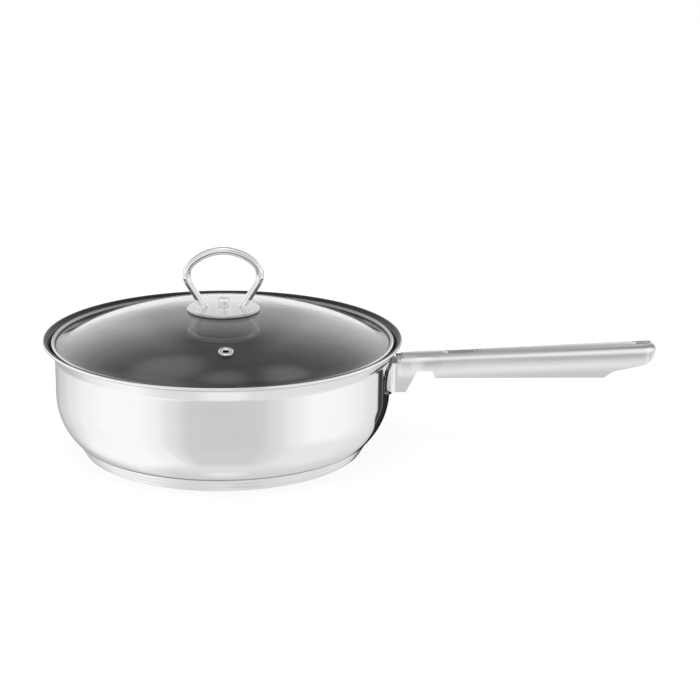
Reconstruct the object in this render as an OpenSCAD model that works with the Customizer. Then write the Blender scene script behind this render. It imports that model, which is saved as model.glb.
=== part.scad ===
// Deep stainless steel frying pan, 24 cm, with a long pressed-sheet handle and a domed glass lid.
// The pan stands on z = 0 with its axis on Z. The handle points along +X.

/* [Pan] */
// Height of the pan from the table to the top of the rim
pan_h = 82.5; // [75:0.5:100]
// Outside diameter of the straight wall
wall_d = 242.8; // [220:0.4:300]
// Thickness of the steel sheet
sheet_t = 1; // [0.7:0.1:1.4]
// Thickness of the black lining, a stand-in for a thinner coating
lining_t = 0.3; // [0.2:0.1:0.5]
// Radius of the large curve that leads the wall in towards the base
corner_r = 45; // [40:1:50]
// Radius of the tighter curve under it, down to the flat floor
foot_r = 12; // [8:1:16]
// Height of the flared pouring rim, down to the start of its curve
flare_h = 13.3; // [12.5:0.1:16]
// Radius of the inward curve where the wall turns into the flare
flare_bend_r = 4.5; // [3:0.5:6]
// Thickness of the rolled bead on the edge of the rim
bead_d = 2.5; // [2:0.1:3]

/* [Base] */
// Diameter of the ring that the pan stands on, at the outside
base_d = 205.6; // [190:0.4:207]
// Thickness of the aluminium core
core_t = 6.2; // [4:0.1:7]
// Thickness of the steel cap under the core
cap_t = 0.8; // [0.5:0.1:1]
// Rounding of the bottom edge of the cap
cap_edge_r = 1.4; // [1.2:0.1:2]
// Depth of the two ring grooves pressed in the side of the cap
ring_groove_d = 0.4; // [0.2:0.05:0.4]
// Open joint between the lip of the cap and the pan
cap_joint = 0.25; // [0.1:0.05:0.5]

/* [Handle] */
// Length of the handle from its root to its nose
handle_len = 191.5; // [170:0.5:220]
// Width of the handle at its root
root_w = 22; // [20:0.5:26]
// Width of the handle at its nose
nose_w = 27; // [24:0.5:32]
// Thickness of the handle sheet
handle_t = 1.6; // [1.2:0.1:2]
// Rounding of the shoulders at the root
root_shoulder_r = 4; // [3:0.5:6]
// Rounding of the shoulders at the nose
nose_shoulder_r = 8; // [6:0.5:9]
// Depth of the top of the root below the rim of the pan
handle_drop = 16.2; // [14.5:0.1:20]
// Rise of the top from the root to the nose
handle_rise = 7.9; // [4:0.1:12]
// Depth of the cheeks below the top of the root
cheek_h = 15.1; // [13:0.1:18]
// Depth of the welded leg below the top of the root
leg_h = 25.7; // [22:0.1:30]
// Length of the oval opening in the top, near the pan
cool_slot_l = 24; // [18:0.5:30]
// Width of the oval opening
cool_slot_w = 9; // [6:0.5:12]
// Length of the hanging slot
hang_slot_l = 13; // [11:0.5:18]
// Width of the hanging slot
hang_slot_w = 9; // [6:0.5:10]

/* [Bracket] */
// Thickness of the bracket sheet
bracket_t = 1.6; // [1.2:0.1:2]
// Distance from the wall of the pan to the root of the handle
neck_l = 5.6; // [5.2:0.1:9]
// Radius of the curve from the bracket's flange into its ears
neck_bend_r = 3.6; // [2:0.1:3.6]
// Width of the flange at its widest place
flange_w = 82; // [70:1:90]
// Width of the flange at its top
flange_top_w = 66; // [56:1:68]
// Width of the flange at its foot
flange_foot_w = 30; // [28:1:50]

/* [Lid glass] */
// Thickness of the tempered glass
glass_t = 4; // [3.2:0.1:4.2]
// Height of the dome above the flat flange of the glass
dome_h = 23.4; // [19:0.1:28]
// Radius of the flatter crown of the dome
crown_r = 410; // [360:5:460]
// Width of the crown
crown_w = 100; // [80:1:110]
// Width of the flat flange at the edge of the glass
glass_flange_w = 3.5; // [3:0.1:5]
// Distance of the vent from the middle of the lid
vent_out = 80.5; // [70:0.5:84]
// Inside diameter of the steam vent
vent_d = 4.6; // [4:0.1:5]
// Outside diameter of the vent's eyelet
eyelet_d = 10.4; // [9.5:0.1:12]

/* [Lid band] */
// Depth of the top of the band below the top of the pan's rim
band_drop = 1.7; // [1:0.1:2.5]
// Thickness of the band sheet
band_t = 0.5; // [0.4:0.05:0.6]
// Height of the rounded ridge of the band above the glass
ridge_h = 2.1; // [1.9:0.1:2.6]
// Width of the ridge
ridge_w = 3; // [2.6:0.1:3.2]
// Thickness of the silicone strip between the glass and the band
seal_t = 0.4; // [0.3:0.05:0.6]

/* [Knob] */
// Diameter of the steel plate under the loop
plate_d = 52.8; // [48:0.4:60]
// Thickness of the plate
plate_t = 1; // [0.8:0.1:1.4]
// Thickness of the silicone gaskets above and below the glass
gasket_t = 0.6; // [0.4:0.1:1]
// Thickness of the loop's wire
wire_d = 5.6; // [4.5:0.1:6.5]
// Outside width of the loop
loop_w = 58.2; // [54:0.1:66]
// Height of the loop above the plate
loop_h = 43.7; // [42:0.1:50]
// Height of the widest place of the loop above the plate
loop_waist_h = 23.1; // [21:0.1:24]
// Radius of the two side bends of the loop, along the middle of the wire
loop_bend_r = 12.5; // [11:0.1:14]
// Distance between the two welded feet of the loop
loop_foot_w = 28.4; // [26:0.2:32]
// Diameter of the post in the middle of the plate
post_d = 9.4; // [8.4:0.1:11]
// Height of the post
post_h = 8; // [7:0.1:10]
// Diameter of the screw's thread
screw_d = 5; // [4:0.5:5]
// Diameter of the screw's head
screw_head_d = 9.5; // [8.5:0.1:11]
// Diameter of the washer under the glass
washer_d = 20; // [16:0.5:24]
// Thickness of the washer
washer_t = 1; // [0.6:0.1:1.4]

/* [Fits] */
// Running gap between the lid and the lining of the pan
lid_gap = 0.3; // [0.2:0.05:0.5]
// Gap around what passes through the glass
hole_gap = 0.5; // [0.3:0.1:0.8]

/* [Hidden] */
$fn = 96;

// One overrun for every cut that passes right through a solid
over = 2;
// A hair left between domed faces that are bonded or clamped, so that their facets never cross
face_gap = 0.02;
// Number of straight steps in an arc of an outline
arc_steps = 10;
fine_arc_steps = 24;

// The outer face of the pan: flat floor, foot curve, corner curve, wall, flare
wall_r = wall_d / 2;
corner_sweep = 43.6;
flare_angle = 35;
shell_z = cap_t + core_t;
foot_c = [wall_r - corner_r + (corner_r - foot_r) * cos(corner_sweep), shell_z + foot_r];
corner_c = [wall_r - corner_r, shell_z + foot_r + (corner_r - foot_r) * sin(corner_sweep)];
flare_c = [wall_r + flare_bend_r, pan_h - flare_h];
flare_start = flare_c + flare_bend_r * [-cos(flare_angle), sin(flare_angle)];
bead_r = bead_d / 2;
flare_len = (pan_h - bead_r - flare_start[1] - sheet_t / 2 * sin(flare_angle)) / cos(flare_angle);
lining_off = sheet_t + lining_t;

// The side of the base: it leans out from the standing ring to the joint with the pan
base_r = base_d / 2;
joint_r = corner_c[0] + corner_r * cos(corner_sweep);
joint_z = corner_c[1] - corner_r * sin(corner_sweep);
cap_lean = atan2(joint_r - base_r, joint_z);
cap_edge_c = [base_r - cap_edge_r, cap_edge_r];
cap_side_len = (joint_z - cap_edge_r + cap_edge_r * sin(cap_lean)) / cos(cap_lean);
// Places of the two grooves along the side of the cap
ring_groove_shares = [0.33, 0.63];
// Height of the top of the core at its edge, as a share of the height of the joint
core_edge_share = 0.78;

// The handle
handle_x = wall_r + neck_l;
nose_x = handle_x + handle_len;
handle_z = pan_h - handle_drop;
nose_z = handle_z + handle_rise;
lip_z = handle_z - cheek_h;
leg_z = handle_z - leg_h;
// Where the handle starts to widen, along its length
widen_share = 0.27;
// The leg and the notch behind it: distance from the root, as shares of the cheek's height
leg_foot_share = 0.39;
notch_start_share = 0.93;
notch_end_share = 1.69;
notch_out_share = 1.84;
notch_depth_share = 0.65;
// The tail: places along the length, and depths below the root as shares of the cheek's height
lip_end_share = 0.797;
tail_knee_shares = [0.834, 0.68];
tail_end_share = 0.45;
nose_corner_share = 0.22;
// The gap in the top at the root, between the shoulders
root_gap_l = 3.5;
root_gap_share = 0.62;
// Thickness of the slices that the handle is stretched between
slice_t = 0.02;
// Place of the oval opening along the length
cool_slot_share = 0.25;
cool_slot_x = handle_x + handle_len * cool_slot_share;
// Metal left between the hanging slot and the nose
hang_edge = 2.8;
hang_slot_x = nose_x - hang_edge - hang_slot_l / 2;

// The bracket
flange_r = wall_r + bracket_t;
flange_corner_r = 5;
// Wall left bare between the flange and the flare
flange_drop = 4.4;
flange_z1 = flare_c[1] - flange_drop;
// Height of the widest place of the flange, as a share of its height
flange_wide_share = 0.5;
flange_wide_z = leg_z + (flange_z1 - leg_z) * flange_wide_share;
ear_top_z = handle_z - root_shoulder_r;

// The lid sits down in the flare, and its seat runs parallel to the lining
seat_off = lining_off + lid_gap;
band_top = pan_h - band_drop;
glass_z = band_top - ridge_h;
glass_under_z = glass_z - glass_t;
band_bottom = glass_under_z - seal_t - band_t;
ridge_r = ridge_w / 2;
band_r = seat_r(band_top - ridge_w - band_t);
glass_r = seat_r(glass_under_z) - (band_t + seal_t) / cos(flare_angle);
glass_edge_cut = 0.5;
band_grip = 3;
seal_lip = 0.7;

// The dome: a flat crown and a rounder shoulder that meet without a crease
dome_z = glass_z + dome_h;
crown_c = [0, dome_z - crown_r];
crown_end = asin(crown_w / 2 / crown_r);
crown_edge = crown_c + crown_r * [sin(crown_end), cos(crown_end)];
dome_foot = [glass_r - glass_flange_w, glass_z];
foot_from_crown = dome_foot - crown_edge;
shoulder_r = -(foot_from_crown * foot_from_crown)
    / (2 * foot_from_crown * [sin(crown_end), cos(crown_end)]);
shoulder_c = crown_edge - shoulder_r * [sin(crown_end), cos(crown_end)];
dome_foot_angle = atan2(dome_foot[0] - shoulder_c[0], dome_foot[1] - shoulder_c[1]);
dome_under_angle = acos((glass_under_z - shoulder_c[1]) / (shoulder_r - glass_t));

// The vent lies towards the front of the lid, square to the glass
vent_az = -89;
vent_slope = asin((vent_out - shoulder_c[0]) / shoulder_r);
vent_z = shoulder_c[1] + shoulder_r * cos(vent_slope);
eyelet_t = 0.8;
eyelet_tube_t = 0.6;
// The rims of the eyelet stay clear of the curve of the glass
eyelet_gap = 0.05;
eyelet_sag = pow(eyelet_d / 2, 2) / (2 * (shoulder_r - glass_t)) + eyelet_gap;

// The knob
plate_r = plate_d / 2;
plate_off = gasket_t + plate_t;
plate_edge_r = plate_t;
// Gap under the turned edge of the plate, as a share of the gasket's thickness
plate_lip_share = 0.25;
plate_lip_off = gasket_t * plate_lip_share;
plate_hole_r = screw_d / 2;
// Radius of the upper gasket as a share of the plate's
gasket_share = 0.7;
gasket_r = plate_r * gasket_share;
plate_top_z = dome_z + plate_off;
wire_r = wire_d / 2;
loop_half = loop_w / 2 - wire_r;
loop_top_z = plate_top_z + loop_h - wire_r;
waist_z = plate_top_z + loop_waist_h;
bend_x = loop_half - loop_bend_r;
loop_rise = loop_top_z - waist_z;
loop_top_r = (bend_x * bend_x + loop_rise * loop_rise - loop_bend_r * loop_bend_r)
    / (2 * (loop_rise - loop_bend_r));
loop_top_half_angle = atan2(bend_x, waist_z - loop_top_z + loop_top_r);
loop_foot_x = loop_foot_w / 2;
loop_foot_z = crown_point(plate_off, loop_foot_x)[1];
foot_reach = norm([loop_foot_x - bend_x, waist_z - loop_foot_z]);
limb_lean = asin(loop_bend_r / foot_reach) - atan2(loop_foot_x - bend_x, waist_z - loop_foot_z);
limb_len = sqrt(foot_reach * foot_reach - loop_bend_r * loop_bend_r);
// The top bend and the limbs of the loop run a little way into its side bends, and are a hair
// thinner, so that the wire is one solid
bend_lap = 1;
limb_lap = 0.5;
bend_ease = 0.02;
post_chamfer = 0.6;
screw_chamfer = 0.6;
lower_gasket_z = crown_point(-glass_t, washer_d / 2)[1] - gasket_t;
washer_z = lower_gasket_z - washer_t;
// The head of the screw and its cross recess, as shares of the thread and of the head
screw_head_share = 0.5;
recess_w_share = 0.2;
recess_d_share = 0.6;
screw_head_h = screw_d * screw_head_share;
recess_w = screw_d * recess_w_share;
recess_d = screw_head_h * recess_d_share;
// Depth of the thread in the post, and the free bore beyond it
thread_share = 0.7;
bore_share = 0.8;

// Points of an arc round c, from angle a0 to angle a1
function arc(c, r, a0, a1, steps = arc_steps) =
    [for (i = [0 : steps]) let (a = a0 + (a1 - a0) * i / steps) c + r * [cos(a), sin(a)]];

// The same outline read from its end
function back(points) = [for (i = [len(points) - 1 : -1 : 0]) points[i]];

// Point of the flare, along it from its start and in from its outer face
function flare_point(along, off) = flare_start
    + along * [sin(flare_angle), cos(flare_angle)] + off * [-cos(flare_angle), sin(flare_angle)];

// The pan's outline at a depth below its outer face, from the axis to a place along the flare
function pan_line(off, along) = concat([[0, shell_z + off]],
    arc(foot_c, foot_r - off, -90, -corner_sweep),
    arc(corner_c, corner_r - off, -corner_sweep, 0, fine_arc_steps),
    arc(flare_c, flare_bend_r + off, 180, 180 - flare_angle),
    [flare_point(along, off)]);

// Point of the side of the cap, along it from its rounded edge and in from its outer face
function cap_point(along, off) = cap_edge_c + (cap_edge_r - off) * [cos(cap_lean), -sin(cap_lean)]
    + along * [sin(cap_lean), cos(cap_lean)];

// A ring groove in the side of the cap
function ring_groove(share) = [for (step = [-1, 0, 1])
    cap_point(cap_side_len * share + step * ring_groove_d, step == 0 ? ring_groove_d : 0)];

// Radius of the lid's seat at a height
function seat_r(z) = flare_point(0, seat_off)[0] + (z - flare_point(0, seat_off)[1]) * tan(flare_angle);

// Point above or below the crown of the glass, at a distance from the axis
function crown_point(off, r) = [r, crown_c[1] + sqrt(pow(crown_r + off, 2) - r * r)];
function crown_line(off, r0, r1) =
    [for (i = [0 : arc_steps]) crown_point(off, r0 + (r1 - r0) * i / arc_steps)];

// Cross-section of the handle, from y and z of its foot up over two rounded shoulders
function channel(w, shoulder, top, foot) = concat([[-w / 2, foot]],
    arc([-w / 2 + shoulder, top - shoulder], shoulder, 180, 90),
    arc([w / 2 - shoulder, top - shoulder], shoulder, 90, 0), [[w / 2, foot]]);

module pan_body() {
    color("silver") {
        rotate_extrude()
            polygon(concat(pan_line(0, flare_len), back(pan_line(sheet_t, flare_len))));
        rotate_extrude() translate(flare_point(flare_len, sheet_t / 2)) circle(bead_r);
    }
}

module nonstick_lining() {
    top = flare_len - bead_r;
    color("dimgray") rotate_extrude()
        polygon(concat(pan_line(sheet_t, top), back(pan_line(lining_off, top))));
}

// The space of the pan, grown by a gap, that the base leaves free
module pan_space(gap) {
    rotate_extrude() polygon(concat(pan_line(-gap, flare_len), [[0, flare_point(flare_len, 0)[1]]]));
}

module base_core() {
    core_edge_z = joint_z * core_edge_share;
    edge_along = (core_edge_z - cap_point(0, cap_t)[1]) / cos(cap_lean);
    color("gainsboro") difference() {
        rotate_extrude() polygon(concat([[0, cap_t]],
            arc(cap_edge_c, cap_edge_r - cap_t, -90, -cap_lean),
            [cap_point(edge_along, cap_t), [0, core_edge_z]]));
        pan_space(face_gap);
    }
}

module base_cap() {
    color("lightgray") difference() {
        rotate_extrude() polygon(concat([[0, 0]],
            arc(cap_edge_c, cap_edge_r, -90, -cap_lean),
            ring_groove(ring_groove_shares[0]), ring_groove(ring_groove_shares[1]),
            [cap_point(cap_side_len, 0), cap_point(cap_side_len, cap_t)],
            back(arc(cap_edge_c, cap_edge_r - cap_t, -90, -cap_lean)), [[0, cap_t]]));
        pan_space(cap_joint);
    }
}

// One ear of the bracket, with the curve that leads it into the flange
module bracket_ear() {
    ear_y = root_w / 2;
    bend_c = [flange_r + neck_bend_r - bracket_t / 2, ear_y + neck_bend_r];
    translate([0, 0, leg_z]) linear_extrude(ear_top_z - leg_z)
        polygon(concat([[wall_r - bracket_t, ear_y - bracket_t], [handle_x, ear_y - bracket_t],
            [handle_x, ear_y]], arc(bend_c, neck_bend_r, 270, 180),
            [[wall_r - bracket_t, ear_y + neck_bend_r]]));
}

// Outline of the flange, wide in the middle, on one side of the handle
function flange_half() = let (
    foot = [flange_foot_w / 2 - flange_corner_r, leg_z + flange_corner_r],
    side = [flange_w / 2 - flange_corner_r, flange_wide_z],
    top = [flange_top_w / 2 - flange_corner_r, flange_z1 - flange_corner_r],
    lower_a = atan2(side[1] - foot[1], side[0] - foot[0]) - 90,
    upper_a = atan2(top[1] - side[1], top[0] - side[0]) - 90)
    concat(arc(foot, flange_corner_r, -90, lower_a), arc(side, flange_corner_r, lower_a, upper_a),
        arc(top, flange_corner_r, upper_a, 90));

module handle_bracket() {
    color("lightgray") difference() {
        union() {
            intersection() {
                cylinder(r = flange_r, h = pan_h);
                rotate([90, 0, 90]) linear_extrude(flange_r + over)
                    polygon(concat(flange_half(), [for (p = back(flange_half())) [-p[0], p[1]]]));
            }
            bracket_ear();
            mirror([0, 1, 0]) bracket_ear();
        }
        translate([0, 0, -over]) cylinder(r = wall_r, h = pan_h + 2 * over);
    }
}

// A thin slice of the handle at a place along it, set in from the outer face by a thickness
module handle_slice(share, w, shoulder, inset) {
    translate([handle_x + handle_len * share, 0, 0]) rotate([90, 0, 90]) linear_extrude(slice_t)
        polygon(channel(w - 2 * inset, shoulder - inset, handle_z + handle_rise * share - inset,
            leg_z - over));
}

// The handle as a full bar, or the space inside it
module handle_bar(inset) {
    hull() {
        handle_slice(-inset / handle_len, root_w, root_shoulder_r, inset);
        handle_slice(widen_share, root_w, root_shoulder_r, inset);
    }
    hull() {
        handle_slice(widen_share, root_w, root_shoulder_r, inset);
        handle_slice(1, nose_w, nose_shoulder_r, inset);
    }
}

// The side view of the handle: leg, notch, lip, tail and rounded nose
module handle_side(inset) {
    tail_z = handle_z - cheek_h * tail_end_share;
    nose_r = nose_z - tail_z;
    rotate([90, 0, 0]) linear_extrude(2 * nose_w, center = true) polygon(concat([
        [handle_x, nose_z + over],
        [handle_x, leg_z],
        [handle_x + cheek_h * leg_foot_share, leg_z],
        [handle_x + cheek_h * notch_start_share, handle_z - cheek_h * notch_depth_share],
        [handle_x + cheek_h * notch_end_share, handle_z - cheek_h * notch_depth_share],
        [handle_x + cheek_h * notch_out_share, lip_z],
        [handle_x + handle_len * lip_end_share, lip_z],
        [handle_x + handle_len * tail_knee_shares[0], handle_z - cheek_h * tail_knee_shares[1]]],
        arc([nose_x - nose_r, nose_z], nose_r - inset, -90, 0),
        [[nose_x - inset, nose_z + over]]));
}

// The plan of the handle: a blunt nose with rounded corners
module handle_plan(inset) {
    corner = nose_w * nose_corner_share;
    side = nose_w / 2 - corner;
    translate([0, 0, leg_z - over]) linear_extrude(nose_z - leg_z + 2 * over) polygon(concat(
        [[wall_r, nose_w], [nose_x - corner, nose_w / 2 - inset]],
        arc([nose_x - corner, side], corner - inset, 90, 0),
        arc([nose_x - corner, -side], corner - inset, 0, -90),
        [[wall_r, -nose_w]]));
}

// A slot with round ends, cut down through the top of the handle
module handle_slot(x, slot_l, slot_w) {
    translate([x, 0, lip_z]) {
        for (end = [-1, 1])
            translate([end * (slot_l - slot_w) / 2, 0, 0]) cylinder(d = slot_w, h = nose_z);
        translate([0, 0, nose_z / 2]) cube([slot_l - slot_w, slot_w, nose_z], center = true);
    }
}

module long_handle() {
    color("gainsboro") difference() {
        intersection() {
            handle_bar(0);
            handle_side(0);
            handle_plan(0);
        }
        intersection() {
            handle_bar(handle_t);
            handle_plan(handle_t);
        }
        translate([handle_x - over, -root_w * root_gap_share / 2, lip_z])
            cube([root_gap_l + over, root_w * root_gap_share, nose_z]);
        handle_slot(cool_slot_x, cool_slot_l, cool_slot_w);
        handle_slot(hang_slot_x, hang_slot_l, hang_slot_w);
    }
}

// Place for what stands in the vent: z is square to the glass, and zero is its upper face
module at_vent() {
    rotate([0, 0, vent_az]) translate([vent_out, 0, vent_z]) rotate([0, vent_slope, 0]) children();
}

module lid_glass() {
    hole_r = plate_hole_r + hole_gap;
    color("lightcyan", 0.4) difference() {
        rotate_extrude() polygon(concat(
            crown_line(0, hole_r, crown_edge[0]),
            arc(shoulder_c, shoulder_r, 90 - crown_end, 90 - dome_foot_angle, fine_arc_steps),
            [[glass_r - glass_edge_cut, glass_z], [glass_r, glass_z - glass_edge_cut],
                [glass_r, glass_under_z + glass_edge_cut], [glass_r - glass_edge_cut, glass_under_z]],
            arc(shoulder_c, shoulder_r - glass_t, 90 - dome_under_angle, 90 - crown_end,
                fine_arc_steps),
            back(crown_line(-glass_t, hole_r, crown_edge[0] * (1 - glass_t / crown_r)))));
        at_vent() translate([0, 0, -glass_t - over])
            cylinder(r = vent_d / 2 + eyelet_tube_t, h = glass_t + 2 * over);
    }
}

// The inside of the band: the silicone strip fills it and wraps the edge of the glass
module glass_seal() {
    color("black") rotate_extrude() polygon([
        [glass_r - band_grip, glass_under_z - seal_t],
        [seat_r(glass_under_z - seal_t) - band_t / cos(flare_angle), glass_under_z - seal_t],
        [band_r - band_t, band_top - ridge_w],
        [band_r - band_t, glass_z + seal_t],
        [band_r - ridge_w - seal_lip, glass_z + seal_t],
        [band_r - ridge_w - seal_lip, glass_z],
        [glass_r - glass_edge_cut, glass_z],
        [glass_r, glass_z - glass_edge_cut],
        [glass_r, glass_under_z + glass_edge_cut],
        [glass_r - glass_edge_cut, glass_under_z],
        [glass_r - band_grip, glass_under_z]]);
}

module lid_band() {
    ridge_c = [band_r - ridge_r, band_top - ridge_r];
    color("silver") rotate_extrude() polygon(concat([
        [glass_r - band_grip, band_bottom],
        [seat_r(band_bottom), band_bottom],
        [band_r, band_top - ridge_w - band_t]],
        arc(ridge_c, ridge_r, 0, 180),
        [[band_r - ridge_w, glass_z + seal_t], [band_r - ridge_w + band_t, glass_z + seal_t]],
        arc(ridge_c, ridge_r - band_t, 180, 0),
        [[band_r - band_t, band_top - ridge_w],
            [seat_r(glass_under_z - seal_t) - band_t / cos(flare_angle), glass_under_z - seal_t],
            [glass_r - band_grip, glass_under_z - seal_t]]));
}

// A short tube through the glass with a rim above and one below
module vent_eyelet() {
    bore_r = vent_d / 2;
    tube_r = bore_r + eyelet_tube_t;
    rim_r = eyelet_d / 2;
    under_r = rim_r - eyelet_t;
    under = -glass_t - eyelet_sag;
    color("whitesmoke") at_vent() rotate_extrude() polygon([
        [bore_r, under - eyelet_t], [under_r, under - eyelet_t], [under_r, under], [tube_r, under],
        [tube_r, 0], [rim_r, 0], [rim_r, eyelet_t / 2], [rim_r - eyelet_t / 2, eyelet_t],
        [bore_r + eyelet_t / 2, eyelet_t], [bore_r, eyelet_t / 2]]);
}

module knob_gasket() {
    color("black") rotate_extrude() polygon(concat(
        crown_line(0, plate_hole_r, gasket_r),
        back(crown_line(gasket_t - face_gap, plate_hole_r, gasket_r))));
}

// A domed plate whose edge turns down towards the glass
module knob_plate() {
    edge_c = crown_point(plate_off - plate_edge_r, plate_r - plate_edge_r);
    color("silver") rotate_extrude() polygon(concat(
        crown_line(gasket_t, plate_hole_r, plate_r - plate_edge_r - plate_t),
        [crown_point(plate_lip_off, plate_r - plate_edge_r), crown_point(plate_lip_off, plate_r)],
        arc(edge_c, plate_edge_r, 0, 90),
        back(crown_line(plate_off, plate_hole_r, plate_r - plate_edge_r))));
}

// A bend of the loop's wire in the XZ plane
module wire_arc(c, r, a0, a1, section_r) {
    translate([c[0], 0, c[1]]) rotate([90, 0, 0]) rotate([0, 0, a0])
        rotate_extrude(angle = a1 - a0) translate([r, 0]) circle(section_r);
}

// Half of the loop: a leaning limb and the side bend above it
module loop_side() {
    translate([loop_foot_x, 0, loop_foot_z]) rotate([0, limb_lean, 0]) translate([0, 0, -wire_d])
        cylinder(r = wire_r - bend_ease, h = limb_len + wire_d + limb_lap);
    wire_arc([bend_x, waist_z], loop_bend_r, -limb_lean, 90 - loop_top_half_angle, wire_r);
}

module knob_loop() {
    color("whitesmoke") difference() {
        union() {
            loop_side();
            mirror([1, 0, 0]) loop_side();
            wire_arc([0, loop_top_z - loop_top_r], loop_top_r, 90 - loop_top_half_angle - bend_lap,
                90 + loop_top_half_angle + bend_lap, wire_r - bend_ease);
        }
        rotate_extrude() polygon(concat(crown_line(plate_off, 0, plate_r),
            [[plate_r, dome_z - dome_h], [0, dome_z - dome_h]]));
    }
}

// A round nut that stands on the plate and holds the screw
module knob_post() {
    post_r = post_d / 2;
    top = plate_top_z + post_h;
    color("whitesmoke") rotate_extrude() polygon([
        crown_point(plate_off, plate_hole_r), crown_point(plate_off, post_r),
        [post_r, top - post_chamfer], [post_r - post_chamfer, top], [0, top],
        [0, plate_top_z + post_h * bore_share], [plate_hole_r, plate_top_z + post_h * bore_share]]);
}

module knob_screw() {
    head_r = screw_head_d / 2;
    head_z = washer_z - screw_head_h;
    tip = plate_top_z + post_h * thread_share;
    color("lightgray") difference() {
        rotate_extrude() polygon([[0, head_z], [head_r - screw_chamfer, head_z],
            [head_r, head_z + screw_chamfer], [head_r, washer_z], [screw_d / 2, washer_z],
            [screw_d / 2, tip - screw_chamfer], [screw_d / 2 - screw_chamfer, tip], [0, tip]]);
        for (turn = [0, 90]) translate([0, 0, head_z]) rotate([0, 0, turn])
            cube([head_r, recess_w, 2 * recess_d], center = true);
    }
}

module lower_gasket() {
    color("black") rotate_extrude() polygon(concat([[washer_d / 2, lower_gasket_z],
        [plate_hole_r, lower_gasket_z]],
        crown_line(-glass_t - face_gap, plate_hole_r, washer_d / 2)));
}

module lower_washer() {
    color("silver") translate([0, 0, washer_z]) difference() {
        cylinder(d = washer_d, h = washer_t);
        translate([0, 0, -over]) cylinder(d = screw_d, h = washer_t + 2 * over);
    }
}

pan_body();
nonstick_lining();
base_core();
base_cap();
handle_bracket();
long_handle();
lid_glass();
glass_seal();
lid_band();
vent_eyelet();
knob_gasket();
knob_plate();
knob_loop();
knob_post();
knob_screw();
lower_gasket();
lower_washer();
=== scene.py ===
import math

import bmesh
import bpy
from mathutils import Matrix, Quaternion, Vector


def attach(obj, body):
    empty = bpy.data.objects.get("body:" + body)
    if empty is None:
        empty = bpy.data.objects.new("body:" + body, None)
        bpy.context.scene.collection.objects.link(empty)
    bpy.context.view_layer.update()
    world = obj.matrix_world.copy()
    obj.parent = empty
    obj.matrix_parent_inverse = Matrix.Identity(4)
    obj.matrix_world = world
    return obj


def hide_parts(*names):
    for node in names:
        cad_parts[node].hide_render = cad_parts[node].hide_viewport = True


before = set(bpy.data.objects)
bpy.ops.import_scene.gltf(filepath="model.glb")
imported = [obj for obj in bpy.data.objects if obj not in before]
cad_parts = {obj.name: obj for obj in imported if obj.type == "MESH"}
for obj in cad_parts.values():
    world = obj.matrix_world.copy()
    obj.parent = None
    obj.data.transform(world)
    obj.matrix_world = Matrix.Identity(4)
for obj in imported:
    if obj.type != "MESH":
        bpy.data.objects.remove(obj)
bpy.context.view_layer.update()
mm = 0.001
scene = bpy.context.scene
print("frame loaded:", len(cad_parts), "nodes")


# Points of an arc in the plane of an outline, angles in degrees
def arc(centre, radius, fromAngle, toAngle, steps=8):
    turns = [math.radians(fromAngle + (toAngle - fromAngle) * i / steps) for i in range(steps + 1)]
    return [(centre[0] + radius * math.cos(a), centre[1] + radius * math.sin(a)) for a in turns]


def smoothStep(x, low, high):
    t = min(1, max(0, (x - low) / (high - low)))
    return t * t * (3 - 2 * t)


# Turns a finished bmesh into a smooth object with sharp edges where its faces meet steeply
def finishPiece(bm, name, material, sharpAngle=32):
    bmesh.ops.remove_doubles(bm, verts=bm.verts, dist=1e-7)
    bmesh.ops.dissolve_degenerate(bm, edges=bm.edges, dist=1e-7)
    bmesh.ops.recalc_face_normals(bm, faces=bm.faces)
    # an open sheet has its outside on top
    if any(edge.is_boundary for edge in bm.edges):
        if sum(face.normal.z * face.calc_area() for face in bm.faces) < 0:
            bmesh.ops.reverse_faces(bm, faces=bm.faces)
    for face in bm.faces:
        face.smooth = True
    for edge in bm.edges:
        edge.smooth = not edge.is_manifold or edge.calc_face_angle(0) < math.radians(sharpAngle)
    mesh = bpy.data.meshes.new(name)
    bm.to_mesh(mesh)
    bm.free()
    mesh.materials.append(material)
    piece = bpy.data.objects.new(name, mesh)
    scene.collection.objects.link(piece)
    return piece


# Spins a closed outline of (radius, height) points round the axis of the pan
def spunPiece(name, outline, material, steps=192, sharpAngle=32):
    bm = bmesh.new()
    verts = [bm.verts.new((r * mm, 0, z * mm)) for r, z in outline]
    edges = [bm.edges.new(pair) for pair in zip(verts, verts[1:] + verts[:1])]
    bmesh.ops.spin(bm, geom=verts + edges, cent=(0, 0, 0), axis=(0, 0, 1),
                   angle=2 * math.pi, steps=steps, use_merge=True)
    bmesh.ops.remove_doubles(bm, verts=bm.verts, dist=1e-7)
    return finishPiece(bm, name, material, sharpAngle)


def vertsIn(made):
    return [part for part in made if isinstance(part, bmesh.types.BMVert)]


# Cuts another object out of a piece
def cutBy(piece, cutter):
    cut = piece.modifiers.new(cutter.name, "BOOLEAN")
    cut.operation = "DIFFERENCE"
    cut.object = cutter


# Rounds the sharp edges of a piece a little
def soften(piece, width):
    soft = piece.modifiers.new("soft", "BEVEL")
    soft.width = width * mm
    soft.segments = 2
    soft.limit_method = "ANGLE"
    soft.angle_limit = math.radians(50)


# Puts the modifiers of a piece into its mesh
def settle(piece):
    graph = bpy.context.evaluated_depsgraph_get()
    mesh = bpy.data.meshes.new_from_object(piece.evaluated_get(graph))
    piece.modifiers.clear()
    piece.data = mesh


def newMaterial(name):
    material = bpy.data.materials.new(name)
    material.use_nodes = True
    tree = material.node_tree
    return material, tree, tree.nodes["Principled BSDF"]


# Links or sets the inputs of a node
def feed(tree, node, inputs):
    for key, value in inputs.items():
        if isinstance(value, bpy.types.NodeSocket):
            tree.links.new(value, node.inputs[key])
        else:
            node.inputs[key].default_value = value


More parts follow.
